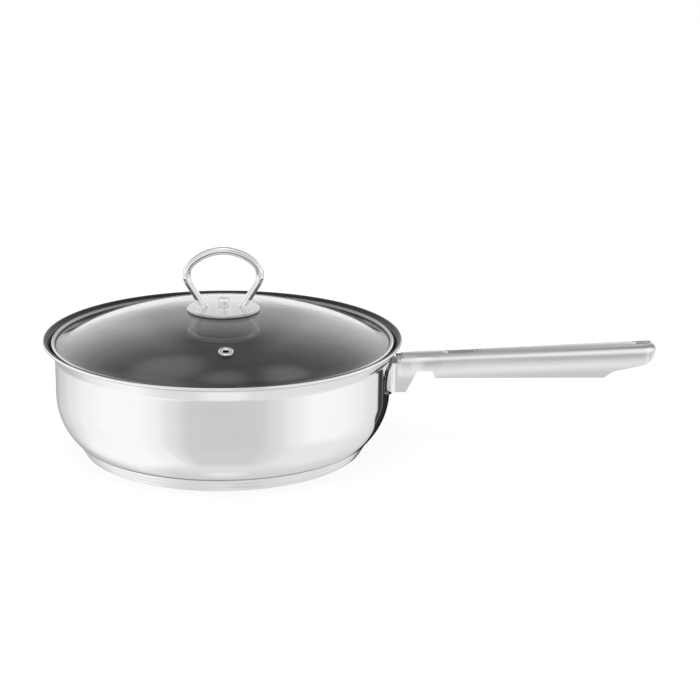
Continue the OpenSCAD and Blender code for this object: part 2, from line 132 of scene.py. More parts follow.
def addNode(tree, kind, inputs=None, **settings):
    node = tree.nodes.new(kind)
    for key, value in settings.items():
        setattr(node, key, value)
    feed(tree, node, inputs or {})
    return node


def mathNode(tree, operation, a, b=0.0, clamp=False):
    return addNode(tree, "ShaderNodeMath", {0: a, 1: b}, operation=operation,
                   use_clamp=clamp).outputs[0]


def noiseNode(tree, place, scale, **more):
    return addNode(tree, "ShaderNodeTexNoise", {
        "Vector": place, "Scale": scale, **more}).outputs["Fac"]


# Maps a value from one range to another
def rangeNode(tree, value, fromLow, fromHigh, toLow, toHigh, kind="LINEAR"):
    return addNode(tree, "ShaderNodeMapRange", {
        "Value": value, "From Min": fromLow, "From Max": fromHigh,
        "To Min": toLow, "To Max": toHigh}, interpolation_type=kind).outputs["Result"]


# A grey ramp from (place, grey) pairs
def rampNode(tree, value, stops, interpolation="EASE"):
    node = addNode(tree, "ShaderNodeValToRGB", {"Fac": value})
    ramp = node.color_ramp
    ramp.interpolation = interpolation
    while len(ramp.elements) < len(stops):
        ramp.elements.new(0.5)
    for element, (place, grey) in zip(ramp.elements, stops):
        element.position = place
        element.color = (grey, grey, grey, 1)
    return node.outputs["Color"]


def objectPlace(tree):
    return addNode(tree, "ShaderNodeTexCoord").outputs["Object"]


# Paints shade into a colour: darkens it by (place, share) pairs along a value
def paintShade(tree, shade, value, stops, unit=1.0, interpolation="LINEAR"):
    low, high = stops[0][0], stops[-1][0]
    along = rangeNode(tree, value, low * unit, high * unit, 0, 1)
    shares = [((at - low) / (high - low), share) for at, share in stops]
    return mathNode(tree, "MULTIPLY", shade, rampNode(tree, along, shares, interpolation))


# Roughness that follows a noise, by roughSpread to either side
def roughNode(tree, noise, look):
    rough, spread = look["roughness"], look["roughSpread"]
    return rangeNode(tree, noise, 0.3, 0.7, rough - spread, rough + spread)


def bumpNode(tree, height, strength, distance):
    return addNode(tree, "ShaderNodeBump", {
        "Height": height, "Strength": strength, "Distance": distance}).outputs["Normal"]


# Group: drawn-out grain, as a fine value and as a slow one, for brushed or turned metal
def makeGrainGroup():
    group = bpy.data.node_groups.new("metalGrain", "ShaderNodeTree")
    face = group.interface
    face.new_socket("Vector", in_out="INPUT", socket_type="NodeSocketVector")
    face.new_socket("Scale", in_out="INPUT", socket_type="NodeSocketFloat")
    face.new_socket("Fine", in_out="OUTPUT", socket_type="NodeSocketFloat")
    face.new_socket("Slow", in_out="OUTPUT", socket_type="NodeSocketFloat")
    given = group.nodes.new("NodeGroupInput")
    place, scale = given.outputs["Vector"], given.outputs["Scale"]
    fine = noiseNode(group, place, scale, Detail=3.0, Roughness=0.6)
    slow = noiseNode(group, place, mathNode(group, "MULTIPLY", scale, 0.13), Detail=2.0)
    addNode(group, "NodeGroupOutput", {"Fine": fine, "Slow": slow})
    return group


# Group: faint smears and specks from handling, as a mask from 0 to 1
def makeSmearGroup():
    group = bpy.data.node_groups.new("handlingMarks", "ShaderNodeTree")
    group.interface.new_socket("Vector", in_out="INPUT", socket_type="NodeSocketVector")
    group.interface.new_socket("Mask", in_out="OUTPUT", socket_type="NodeSocketFloat")
    place = group.nodes.new("NodeGroupInput").outputs["Vector"]
    smear = noiseNode(group, place, 26.0, Detail=4.0, Distortion=0.6)
    speck = noiseNode(group, place, 900.0, Detail=1.0)
    wide = rangeNode(group, smear, 0.42, 0.72, 0.0, 0.8)
    small = rangeNode(group, speck, 0.66, 0.78, 0.0, 0.4)
    addNode(group, "NodeGroupOutput", {"Mask": mathNode(group, "ADD", wide, small, clamp=True)})
    return group


grainGroup = makeGrainGroup()
smearGroup = makeSmearGroup()


# Steel: shade, roughness and bump follow a grain drawn out along one direction.
# grainStretch squeezes the object coordinates, so a small number draws the grain out.
# Painted shade, darker bands and lines in place of shade and reflections, goes by height or
# distance from the axis, in mm, or by share of the half width, which grows along the piece.
def steelMaterial(name, look):
    material, tree, shader = newMaterial(name)
    place = objectPlace(tree)
    if look.get("turned"):  # the grain runs round the axis of the pan
        parts = addNode(tree, "ShaderNodeSeparateXYZ", {0: place}).outputs
        flat = addNode(tree, "ShaderNodeCombineXYZ", {0: parts[0], 1: parts[1]}).outputs[0]
        radius = addNode(tree, "ShaderNodeVectorMath", {0: flat}, operation="LENGTH")
        place = addNode(tree, "ShaderNodeCombineXYZ", {
            0: radius.outputs["Value"], 1: mathNode(tree, "MULTIPLY", parts[0], 0.02),
            2: parts[2]}).outputs[0]
    drawn = addNode(tree, "ShaderNodeMapping", {"Vector": place, "Scale": look["grainStretch"]})
    grain = addNode(tree, "ShaderNodeGroup", {
        "Vector": drawn.outputs["Vector"], "Scale": look["grainScale"]}, node_tree=grainGroup)
    smear = addNode(tree, "ShaderNodeGroup", {"Vector": objectPlace(tree)}, node_tree=smearGroup)
    grey = look["grey"]
    shade = rangeNode(tree, grain.outputs["Slow"], 0.3, 0.7, grey - look["greySpread"], grey)
    # painted shade: darker bands and lines by height, by distance from the axis and across the
    # handle's top
    if "paintedShadeByHeight" in look:
        shade = paintShade(tree, shade, parts[2], look["paintedShadeByHeight"], mm)
    if "paintedShadeByRadius" in look:
        shade = paintShade(tree, shade, radius.outputs["Value"], look["paintedShadeByRadius"], mm)
    if "paintedShadeAcross" in look:
        parts = addNode(tree, "ShaderNodeSeparateXYZ", {0: place}).outputs
        (nearX, nearHalf), (farX, farHalf) = look["halfWidths"]
        half = rangeNode(tree, parts[0], nearX * mm, farX * mm, nearHalf * mm, farHalf * mm)
        across = mathNode(tree, "DIVIDE", mathNode(tree, "ABSOLUTE", parts[1]), half)
        shade = paintShade(tree, shade, across, look["paintedShadeAcross"], 1, "EASE")
    tint = addNode(tree, "ShaderNodeCombineColor", {
        0: shade, 1: shade, 2: mathNode(tree, "MULTIPLY", shade, look["blue"])})
    fineRough = roughNode(tree, grain.outputs["Fine"], look)
    marks = mathNode(tree, "MULTIPLY", smear.outputs["Mask"], look["smear"])
    feed(tree, shader, {
        "Base Color": tint.outputs[0], "Roughness": mathNode(tree, "ADD", fineRough, marks),
        "Metallic": 1.0, "Normal": bumpNode(tree, grain.outputs["Fine"], look["bump"], 0.0002)})
    return material


plainSteel = dict(blue=1.0, smear=0.03, grainStretch=(1, 1, 1))
steelLooks = {
    "bodySteel": dict(
        grey=0.92, greySpread=0.015, blue=1.005, roughness=0.05, roughSpread=0.02, smear=0.02,
        bump=0.01, turned=True, grainScale=1400.0,
        # painted shade: a dark line in the joint with the base and a darker band above it, and a
        # dark line in the crease under the bead
        paintedShadeByHeight=((0, 0.42), (11.1, 0.42), (11.35, 0.86), (15, 0.88), (20, 1), (78, 1),
                       (79.3, 0.88), (79.55, 0.5), (80.1, 0.5), (80.3, 1), (84, 1))),
    "bandSteel": dict(
        grey=0.8, greySpread=0.015, blue=1.005, roughness=0.06, roughSpread=0.02, smear=0.02,
        bump=0.01, turned=True, grainScale=1400.0,
        # painted shade on the inner and outer slopes of the band, so only its ridge stays bright
        paintedShadeByRadius=((120, 0.5), (122.6, 0.5), (123, 1), (123.7, 1), (124, 0.7), (126, 0.7))),
    "baseSteel": dict(
        grey=0.88, greySpread=0.04, blue=1.005, roughness=0.12, roughSpread=0.04, bump=0.05,
        turned=True, grainScale=1500.0),
    "handleSteel": dict(
        grey=0.87, greySpread=0.03, roughness=0.18, roughSpread=0.04, bump=0.05,
        grainStretch=(0.03, 1, 1), grainScale=2200.0, halfWidths=((178, 11), (318, 13.5)),
        # painted reflections: the middle of the top and a strip along each shoulder are darker
        paintedShadeAcross=((0, 0.62), (0.16, 0.72), (0.27, 0.98), (0.44, 0.98), (0.52, 0.72),
                     (0.59, 0.56), (0.65, 0.56), (0.7, 0.85), (0.75, 1))),
    "innerSteel": dict(
        # darker grey as painted shade inside the handle; rougher as unpolished
        grey=0.56, greySpread=0.08, roughness=0.42, roughSpread=0.06, smear=0.05, bump=0.2,
        grainStretch=(0.2, 1, 1), grainScale=1500.0),
    "paintedShadowSteel": dict(
        # near-black: painted shadow along the edge of the bracket's flange
        grey=0.05, greySpread=0.02, roughness=0.4, roughSpread=0.08, smear=0.05, bump=0.2,
        grainScale=2500.0),
    "knobSteel": dict(
        grey=0.92, greySpread=0.02, roughness=0.06, roughSpread=0.03, bump=0.02,
        grainScale=700.0),
    "plateSteel": dict(
        grey=0.9, greySpread=0.04, roughness=0.17, roughSpread=0.03, bump=0.03, turned=True,
        # painted shade: the rounded rim of the plate darkens to a dark edge line
        grainScale=1500.0, paintedShadeByRadius=((24.8, 1), (25.9, 0.85), (26.3, 0.5), (27, 0.45))),
}
(bodySteel, bandSteel, baseSteel, handleSteel, innerSteel, paintedShadowSteel, knobSteel,
 plateSteel) = [steelMaterial(name, {**plainSteel, **look}) for name, look in steelLooks.items()]


# Dark and pale matt finishes: speckle in shade, roughness and bump
def speckledMaterial(name, look):
    material, tree, shader = newMaterial(name)
    place = objectPlace(tree)
    fine = noiseNode(tree, place, look["speckScale"], Detail=2.0)
    wide = noiseNode(tree, place, 18.0, Detail=3.0)
    mixed = addNode(tree, "ShaderNodeMix", {
        0: rangeNode(tree, fine, 0.35, 0.68, 0.0, 1.0),
        6: (*look["dark"], 1), 7: (*look["light"], 1)}, data_type="RGBA")
    feed(tree, shader, {
        "Base Color": mixed.outputs[2], "Roughness": roughNode(tree, wide, look),
        "Metallic": look.get("metallic", 0.0), "Specular IOR Level": look.get("specular", 0.5),
        "Normal": bumpNode(tree, fine, look["bump"], 0.0003)})
    return material


coating = speckledMaterial("coating", dict(
    dark=(0.010, 0.010, 0.011), light=(0.03, 0.03, 0.031), speckScale=1500.0,
    roughness=0.36, roughSpread=0.05, bump=0.12, specular=0.4))
sealRubber = speckledMaterial("sealRubber", dict(
    dark=(0.02, 0.02, 0.02), light=(0.045, 0.045, 0.045), speckScale=2500.0,
    roughness=0.55, roughSpread=0.06, bump=0.1))
coreAluminium = speckledMaterial("coreAluminium", dict(
    dark=(0.45, 0.45, 0.46), light=(0.62, 0.62, 0.63), speckScale=800.0,
    roughness=0.5, roughSpread=0.08, bump=0.25, metallic=0.9))


# Clear glass: faint smears show only as a change in its gloss
def makeGlass():
    material, tree, shader = newMaterial("clearGlass")
    place = objectPlace(tree)
    smear = addNode(tree, "ShaderNodeGroup", {"Vector": place}, node_tree=smearGroup)
    wave = noiseNode(tree, place, 14.0, Detail=1.0)
    feed(tree, shader, {
        "Base Color": (0.975, 0.98, 0.98, 1), "Transmission Weight": 1.0, "IOR": 1.58,
        "Roughness": mathNode(tree, "MULTIPLY", smear.outputs["Mask"], 0.02),
        "Normal": bumpNode(tree, wave, 0.02, 0.001)})
    return material


clearGlass = makeGlass()
print("materials made")


# Turns a camera or a lamp toward a direction
def aim(thing, toward, roll=0.0):
    level = Vector(toward).to_track_quat("-Z", "Y")
    thing.rotation_mode = "QUATERNION"
    thing.rotation_quaternion = level @ Quaternion((0, 0, 1), math.radians(roll))


# Camera: place in metres, roll in degrees, lens in millimetres
cameraSet = dict(place=(0.0, -1.14866, 0.40780), toward=(0.076875, 0.956515, -0.281370),
                 roll=0.949, lens=84.16)


def makeCamera(look):
    data = bpy.data.cameras.new("photoCamera")
    data.lens = look["lens"]
    data.sensor_width = 36
    data.clip_start, data.clip_end = 0.05, 40
    camera = bpy.data.objects.new("photoCamera", data)
    scene.collection.objects.link(camera)
    camera.location = look["place"]
    aim(camera, look["toward"], look["roll"])
    scene.camera = camera


makeCamera(cameraSet)


# Pan: its outer face as a chain of arcs, and what lies inside it
pan = dict(
    sheet=1.0, lining=0.3,
    footCentre=(100.298, 19.0), footRadius=12.0,
    cornerCentre=(76.4, 41.757), cornerRadius=45.0, cornerSweep=43.6,
    bendCentre=(125.9, 69.2), bendRadius=4.5, flareAngle=35.0,
    flareLength=9.9, beadCentre=(128.234, 81.25), beadRadius=1.25, beadStart=-101.42,
    beadSweep=312.8, coatStart=211.0, coatEdge=54.0, coatEnd=196.7)


# A point of the flare: along it from its start, and in from its outer face
def flarePoint(along, inward):
    a = math.radians(pan["flareAngle"])
    startX = pan["bendCentre"][0] - pan["bendRadius"] * math.cos(a)
    startZ = pan["bendCentre"][1] + pan["bendRadius"] * math.sin(a)
    return (startX + along * math.sin(a) - inward * math.cos(a),
            startZ + along * math.cos(a) + inward * math.sin(a))


# The outline of the pan at a depth below its outer face, from the axis to the end of the flare
def panOutline(inward):
    sweep, along = pan["cornerSweep"], pan["flareLength"]
    foot = arc(pan["footCentre"], pan["footRadius"] - inward, -90, -sweep, 10)
    corner = arc(pan["cornerCentre"], pan["cornerRadius"] - inward, -sweep, 0, 24)
    bend = arc(pan["bendCentre"], pan["bendRadius"] + inward, 180, 180 - pan["flareAngle"], 10)
    floor = [(r, foot[0][1]) for r in (0, 40, 80, foot[0][0] - 1)]
    wall = [(corner[-1][0], corner[-1][1] + rise * (bend[0][1] - corner[-1][1]))
            for rise in (0.03, 0.35, 0.65, 0.97)]
    flare = [flarePoint(share * along, inward) for share in (0.06, 0.5, 0.94)]
    return floor + foot + corner[1:] + wall + bend + flare + [flarePoint(along, inward)]


def makePan():
    centre, radius, start = pan["beadCentre"], pan["beadRadius"], pan["beadStart"]
    bead = arc(centre, radius, start, start + pan["beadSweep"], 26)
    outside = panOutline(0)
    inside = panOutline(pan["sheet"])
    shell = spunPiece("panShell", outside + bead + inside[::-1], bodySteel, 256)
    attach(shell, "pan")
    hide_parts("pan_body")
    coat = panOutline(pan["sheet"] + pan["lining"])
    # the coating runs up over the bead
    under = arc(centre, radius - 0.1, pan["coatStart"], pan["coatEdge"], 14)
    over = arc(centre, radius + 0.04, pan["coatEdge"], pan["coatEnd"], 22)
    lining = spunPiece("panLining", inside + under + over + coat[::-1], coating, 256)
    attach(lining, "pan")
    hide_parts("nonstick_lining")


makePan()
print("pan and lining made")

# Base: a pressed cap with two grooves, round an aluminium core
base = dict(radius=102.8, edgeRadius=1.4, flatRadius=96.0, lean=29.98, sideLength=11.1, sheet=0.8,
            grooveShares=(0.33, 0.63), grooveDepth=0.4, grooveWidth=0.9, lipRadius=0.35,
            coreRadius=99.0, coreTop=(105.2, 8.3))


def makeBase():
    lean = math.radians(base["lean"])
    edge = (base["radius"] - base["edgeRadius"], base["edgeRadius"])

    def side(along, inward):
        reach = base["edgeRadius"] - inward
        return (edge[0] + reach * math.cos(lean) + along * math.sin(lean),
                edge[1] - reach * math.sin(lean) + along * math.cos(lean))

    flat = base["flatRadius"]
    outline = [(r, 0) for r in (0, 40, 80, flat)]
    outline += arc(edge, base["edgeRadius"], -90, -base["lean"], 8)
    for share in base["grooveShares"]:
        middle = base["sideLength"] * share
        for step in (-1.6, -1, -0.6, -0.3, 0, 0.3, 0.6, 1, 1.6):
            depth = base["grooveDepth"] * max(0, math.cos(min(1, abs(step)) * math.pi / 2))
            outline.append(side(middle + step * base["grooveWidth"] / 2, depth))
    top = side(base["sideLength"] - base["lipRadius"], base["lipRadius"])
    outline += arc(top, base["lipRadius"], -base["lean"], 90 - base["lean"], 6)
    outline += [side(base["sideLength"], base["sheet"]), side(0, base["sheet"]),
                (flat, base["sheet"]), (0, base["sheet"])]
    cap = spunPiece("baseCap", outline, baseSteel, 256)
    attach(cap, "pan")
    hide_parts("base_cap")
    inset = base["sheet"] + 0.02
    coreEdge = [side(0.2, inset), side(8.0, inset), base["coreTop"]]
    foot = arc(pan["footCentre"], pan["footRadius"] + 0.03, -52, -90, 6)
    coreOutline = ([(0, inset), (base["coreRadius"], inset)] + coreEdge + foot
                   + [(0, foot[-1][1])])
    core = spunPiece("baseCore", coreOutline, coreAluminium, 128)
    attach(core, "pan")
    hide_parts("base_core")


makeBase()
print("base made")

# Lid: the glass, and the place of the vent in it
lid = dict(
    glassThickness=4.0, domeTop=102.1, crownRadius=410.0, crownEdge=7.005,
    shoulderCentre=(24.458, -108.838), shoulderRadius=209.441,
    domeFootAngle=63.56, domeUnderAngle=63.30, skirtStart=112.0, skirtTop=81.43,
    skirtSlope=0.45, skirtCurve=0.0153, underEnd=110.4, flangeTop=78.7, flangeUnder=74.7,
    glassRadius=121.206, groundEdge=0.7, holeRadius=3.0, crownReach=(50.0, 49.51),
    ventOut=80.5, ventTurn=-89.0, ventSlope=15.52, ventHeight=92.966, ventHole=2.9)


# A point above or below the crown of the glass, at a distance from the axis
def crownPoint(off, r):
    height = math.sqrt((lid["crownRadius"] + off) ** 2 - r * r)
    return (r, lid["domeTop"] - lid["crownRadius"] + height)


def crownLine(off, fromRadius, toRadius, steps=8):
    radii = [fromRadius + (toRadius - fromRadius) * i / steps for i in range(steps + 1)]
    return [crownPoint(off, r) for r in radii]


# Moves a piece that was made on the axis to the vent, square to the glass
def atVent():
    return (Matrix.Rotation(math.radians(lid["ventTurn"]), 4, "Z")
            @ Matrix.Translation((lid["ventOut"] * mm, 0, lid["ventHeight"] * mm))
            @ Matrix.Rotation(math.radians(lid["ventSlope"]), 4, "Y"))


def makeGlassDome():
    thick = lid["glassThickness"]
    edge = 90 - lid["crownEdge"]
    upper = arc(lid["shoulderCentre"], lid["shoulderRadius"], edge, lid["domeFootAngle"], 40)
    under = arc(lid["shoulderCentre"], lid["shoulderRadius"] - thick, lid["domeUnderAngle"],
                edge, 40)
    rim, top, low = lid["glassRadius"], lid["flangeTop"], lid["flangeUnder"]
    soft, slope, curve = lid["groundEdge"], lid["skirtSlope"], lid["skirtCurve"]
    # the dome flattens a little toward its rim, on both faces
    upper = [point for point in upper if point[0] < lid["skirtStart"]]
    under = [point for point in under if point[0] < lid["underEnd"]]
    skirt, skirtUnder = [], []
    for d in (1.5, 3, 4.5, 6, 7.3):
        r, z = lid["skirtStart"] + d, lid["skirtTop"] - slope * d + curve * d * d
        tilt = math.atan(slope - 2 * curve * d)
        skirt.append((r, z))
        skirtUnder.append((r - thick * math.sin(tilt), z - thick * math.cos(tilt)))
    hole, (topReach, underReach) = lid["holeRadius"], lid["crownReach"]
    outline = (crownLine(0, hole, topReach, 14)[:-1] + upper + skirt
               + arc((rim - soft, top - soft), soft, 90, 0, 4)
               + arc((rim - soft, low + soft), soft, 0, -90, 4)
               + skirtUnder[::-1] + under + crownLine(-thick, underReach, hole, 14)[1:])
    glass = spunPiece("lidGlass", outline, clearGlass, 256, 40)
    bm = bmesh.new()
    bmesh.ops.create_cone(bm, cap_ends=True, segments=64, radius1=lid["ventHole"] * mm,
                          radius2=lid["ventHole"] * mm, depth=20 * mm, matrix=atVent())
    drill = finishPiece(bm, "ventDrill", clearGlass)
    cutBy(glass, drill)
    settle(glass)
    bpy.data.objects.remove(drill)
    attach(glass, "lid")
    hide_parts("lid_glass")


makeGlassDome()

# The steel band round the glass
lidRim = dict(bandTop=80.8, bandRadius=124.125, ridgeRadius=1.5, sheet=0.5, hem=79.0,
              bandBottom=73.8, footRadius=121.674, grip=118.206,
              sealLip=((121.2, 79.1), (120.7, 79.08), (120.45, 78.95), (120.4, 78.72)))


def makeLidRim():
    r, t = lidRim["ridgeRadius"], lidRim["sheet"]
    outer, low = lidRim["bandRadius"], lidRim["bandBottom"]
    grip, foot, hem = lidRim["grip"], lidRim["footRadius"], lidRim["hem"]
    ridge = (outer - r, lidRim["bandTop"] - r)
    lean = [(outer - 0.04, ridge[1] - 1.2), (outer - 0.02, 77.6), (outer - 0.12, 77.2)]
    outline = ([(grip, low), (foot - 0.4, low), (foot + 0.1, low + 0.25)] + lean[::-1]
               + arc(ridge, r, 0, 76, 9) + arc(ridge, r - 0.16, 84, 96, 2)
               + arc(ridge, r, 104, 180, 9)
               + [(ridge[0] - r + 0.02, hem), (ridge[0] - r + t, hem)]
               + arc(ridge, r - t, 180, 0, 12)
               + [(outer - t, 77.8), (foot - 0.26, low + t), (grip, low + t)])
    band = spunPiece("lidBand", outline, bandSteel, 256)
    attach(band, "lid")
    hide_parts("lid_band")
    rim, top, under = lid["glassRadius"], lid["flangeTop"], lid["flangeUnder"]
    # the seal fills the gap between them and ends in a small lip on the glass
    outside = outer - t - 0.03
    sealOutline = [(grip, under - 0.4), (121.3, under - 0.4), (outside, 77.85), (outside, hem),
                   *lidRim["sealLip"], (rim + 0.02, top), (rim + 0.02, under), (grip, under)]
    seal = spunPiece("glassSeal", sealOutline, sealRubber, 256)
    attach(seal, "lid")
    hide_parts("glass_seal")


makeLidRim()

# The eyelet of the vent, with heights from the top of the glass
eyelet = dict(rim=5.2, bore=2.3, tube=2.88, flange=0.8, under=-4.12, underRim=4.4)


def makeEyelet():
    rim, bore, tall = eyelet["rim"], eyelet["bore"], eyelet["flange"]
    low, half = eyelet["under"], (rim - bore) / 2
    foot, tube = eyelet["underRim"], eyelet["tube"]
    outline = ([(bore, low - tall + 0.3), (bore + 0.3, low - tall), (foot, low - tall),
                (foot, low), (tube, low), (tube, 0), (rim, 0)]
               + [(rim - half * (1 - math.cos(a)), 0.1 + (tall - 0.1) * math.sin(a))
                  for a in [math.pi * step / 18 for step in range(18)]])
    ring = spunPiece("ventEyelet", outline, knobSteel, 96, 50)
    ring.data.transform(atVent())
    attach(ring, "lid")
    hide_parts("vent_eyelet")


makeEyelet()
print("lid made")

# Knob: the plate, the wire loop and the nut between its feet
knob = dict(
    plateRadius=26.4, plateSheet=1.0, gasket=0.6, gasketRadius=18.48, bore=2.5,
    wire=2.8, footX=14.2, footZ=103.455, footDepth=0.6, limbLean=31.39, limbLength=19.72,
    sideBend=(13.8, 126.8), topCentre=111.484, topHalf=42.02, postRadius=4.7, postTop=110.5,
    weld=1.1)


def makeKnobDisc():
    r, sheet, lift = knob["plateRadius"], knob["plateSheet"], knob["gasket"]
    bore = knob["bore"]
    edge = crownPoint(lift, r - sheet)
    outline = (crownLine(lift, bore, r - 2 * sheet, 10)
               + [crownPoint(lift * 0.25 + 0.1, r - sheet), crownPoint(lift * 0.25, r - 0.6),
                  crownPoint(lift * 0.25, r - 0.12), crownPoint(lift * 0.25 + 0.12, r)]
               + arc(edge, sheet, 0, 90, 7) + crownLine(lift + sheet, r - sheet - 0.3, bore, 14))
    plate = spunPiece("knobPlate", outline, plateSteel, 192)
    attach(plate, "lid")
    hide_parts("knob_plate")
    pad = (crownLine(0.01, bore, knob["gasketRadius"], 8)
           + crownLine(lift - 0.02, knob["gasketRadius"] - 0.1, bore, 8))
    gasket = spunPiece("knobGasket", pad, sealRubber, 128)
    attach(gasket, "lid")
    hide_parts("knob_gasket")


makeKnobDisc()


# The loop: a ring of wire is drawn up one limb, spun round three bends and drawn down again
def makeLoop():
    lean = math.radians(knob["limbLean"])
    up = Vector((math.sin(lean), 0, math.cos(lean)))
    foot = Vector((knob["footX"], 0, knob["footZ"])) * mm
    turn = (Matrix.Translation(foot - up * knob["footDepth"] * mm)
            @ Matrix.Rotation(lean, 4, "Y"))
    bm = bmesh.new()
    bmesh.ops.create_circle(bm, cap_ends=True, segments=32, radius=knob["wire"] * mm, matrix=turn)
    front = list(bm.edges)

    def drawn(step):
        nonlocal front
        made = bmesh.ops.extrude_edge_only(bm, edges=front)["geom"]
        bmesh.ops.translate(bm, verts=vertsIn(made), vec=step)
        front = [g for g in made if isinstance(g, bmesh.types.BMEdge)
                 and all(v in made for v in g.verts) and len(g.link_faces) == 1]

    def bent(centre, angle, steps):
        nonlocal front
        rim = list({v for e in front for v in e.verts})
        made = bmesh.ops.spin(bm, geom=rim + front, cent=(centre[0] * mm, 0, centre[1] * mm),
                              axis=(0, -1, 0), angle=math.radians(angle), steps=steps,
                              use_duplicate=False)["geom_last"]
        front = [g for g in made if isinstance(g, bmesh.types.BMEdge)]

    length = (knob["limbLength"] + knob["footDepth"]) * mm
    for part in range(6):
        drawn(up * length / 6)
    sideX, sideZ = knob["sideBend"]
    sideTurn = knob["limbLean"] + 90 - knob["topHalf"]
    bent((sideX, sideZ), sideTurn, 20)
    bent((0, knob["topCentre"]), 2 * knob["topHalf"], 36)
    bent((-sideX, sideZ), sideTurn, 20)
    down = Vector((up.x, 0, -up.z))
    for part in range(6):
        drawn(down * length / 6)
    bmesh.ops.contextual_create(bm, geom=front)
    loop = finishPiece(bm, "knobLoop", knobSteel, 50)
    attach(loop, "lid")
    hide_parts("knob_loop")
    # a low weld bead round each foot
    bm = bmesh.new()
    for side in (-1, 1):
        bead = bmesh.ops.create_uvsphere(bm, u_segments=32, v_segments=14,
                                         radius=(knob["wire"] + knob["weld"]) * mm)["verts"]
        bmesh.ops.scale(bm, verts=bead, vec=(1.05, 1, 0.3))
        bmesh.ops.translate(bm, verts=bead, vec=(side * (knob["footX"] + 0.1) * mm, 0,
                                                 (knob["footZ"] - 0.1) * mm))
    welds = finishPiece(bm, "knobWelds", knobSteel, 50)
    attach(welds, "lid")
    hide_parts("knob_loop")


makeLoop()

# The screw from below, its head, the washer and the pad
fastening = dict(washerTop=96.377, washerSheet=0.95, washerRadius=10.0, washerBore=2.55,
                 headRadius=4.75, headLow=93.877, shank=2.48, screwTop=108.2)


def makeFastening():
    post, top, bore = knob["postRadius"], knob["postTop"], knob["bore"]
    onPlate = crownPoint(1.6, post)[1]
    outline = [(bore, onPlate), (post - 0.15, onPlate), (post, onPlate + 0.2), (post, top - 0.6),
               (post - 0.15, top - 0.2), (post - 0.6, top), (2, top), (0, top),
               (0, top - 3.4), (bore, top - 3.4)]
    nut = spunPiece("knobPost", outline, knobSteel, 96, 50)
    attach(nut, "lid")
    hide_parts("knob_post")
    washerTop, head, low = fastening["washerTop"], fastening["headRadius"], fastening["headLow"]
    shank, tip, shoulder = fastening["shank"], fastening["screwTop"], washerTop - 1.02
    screwOutline = [(0, low + 0.023), (head - 1.6, low), (head - 0.7, low + 0.373),
                    (head - 0.12, low + 1.223), (head, low + 1.423), (head, shoulder),
                    (shank, shoulder), (shank, tip - 0.7), (shank - 0.58, tip), (0, tip)]
    screw = spunPiece("knobScrew", screwOutline, plateSteel, 64, 40)
    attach(screw, "lid")
    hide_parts("knob_screw")
    rim, hole = fastening["washerRadius"], fastening["washerBore"]
    below = washerTop - fastening["washerSheet"]
    discOutline = [(hole, below), (rim - 0.2, below), (rim, below + 0.2),
                   (rim, washerTop - 0.2), (rim - 0.2, washerTop), (hole, washerTop)]
    washer = spunPiece("lowerWasher", discOutline, plateSteel, 96)
    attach(washer, "lid")
    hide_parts("lower_washer")
    padOutline = ([(2.6, washerTop + 0.02), (9.9, washerTop + 0.02)]
                  + crownLine(-4.03, 9.9, 2.6, 6))
    pad = spunPiece("lowerGasket", padOutline, sealRubber, 96)
    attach(pad, "lid")
    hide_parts("lower_gasket")


makeFastening()
print("knob made")

# Handle: one pressed sheet, open underneath. The shoulders are given at the root and at the
# nose, the slots as (middle, length, width) and the lower edge as (along, height).
handle = dict(
    startX=127.0, length=191.5, rootTop=66.3, rise=7.9, sheet=1.6,
    rootWidth=22.0, noseWidth=27.0, widenShare=0.27, shoulder=(10.2, 12.2),
    shoulderDrop=(8.0, 9.5), crown=1.0, bellyBelow=18.5, bellyCurve=0.0091,
    dropLimit=0.78, noseCorner=6.0, noseShoulder=2.4, noseSkew=2.8, noseDepth=3.2,
    noseSweep=14.7, noseRound=0.95,
    edge=((127.0, 40.6), (132.9, 40.6), (141.04, 56.5), (152.5, 56.5), (154.8, 51.2),
          (279.6, 51.2), (286.7, 56.03), (303.8, 59.5)),
    rootGap=(3.5, 13.6), gapHeight=66.0, coolSlot=(174.875, 24.0, 9.0),
    hangSlot=(309.2, 13.0, 9.0), cutHeight=72.0)
handleEnd = handle["startX"] + handle["length"]


def handleTop(x):
    return handle["rootTop"] + handle["rise"] * (x - handle["startX"]) / handle["length"]


def handleWidth(x):
    share = (x - handle["startX"]) / handle["length"]
    grow = max(0, (share - handle["widenShare"]) / (1 - handle["widenShare"]))
    return handle["rootWidth"] + (handle["noseWidth"] - handle["rootWidth"]) * grow


# Height of the lower edge of the cheeks: leg, notch, lip, tail and rounded nose
def handleEdge(x):
    for (x0, z0), (x1, z1) in zip(handle["edge"], handle["edge"][1:]):
        if x <= x1:
            return z0 + (z1 - z0) * max(0, x - x0) / (x1 - x0)
    sweep = handle["noseSweep"]
    out = min(sweep, x - (handleEnd - sweep))
    depth = handle["noseRound"] * math.sqrt(max(0, sweep * sweep - out * out))
    return handleTop(x) - max(depth, handle["noseDepth"])


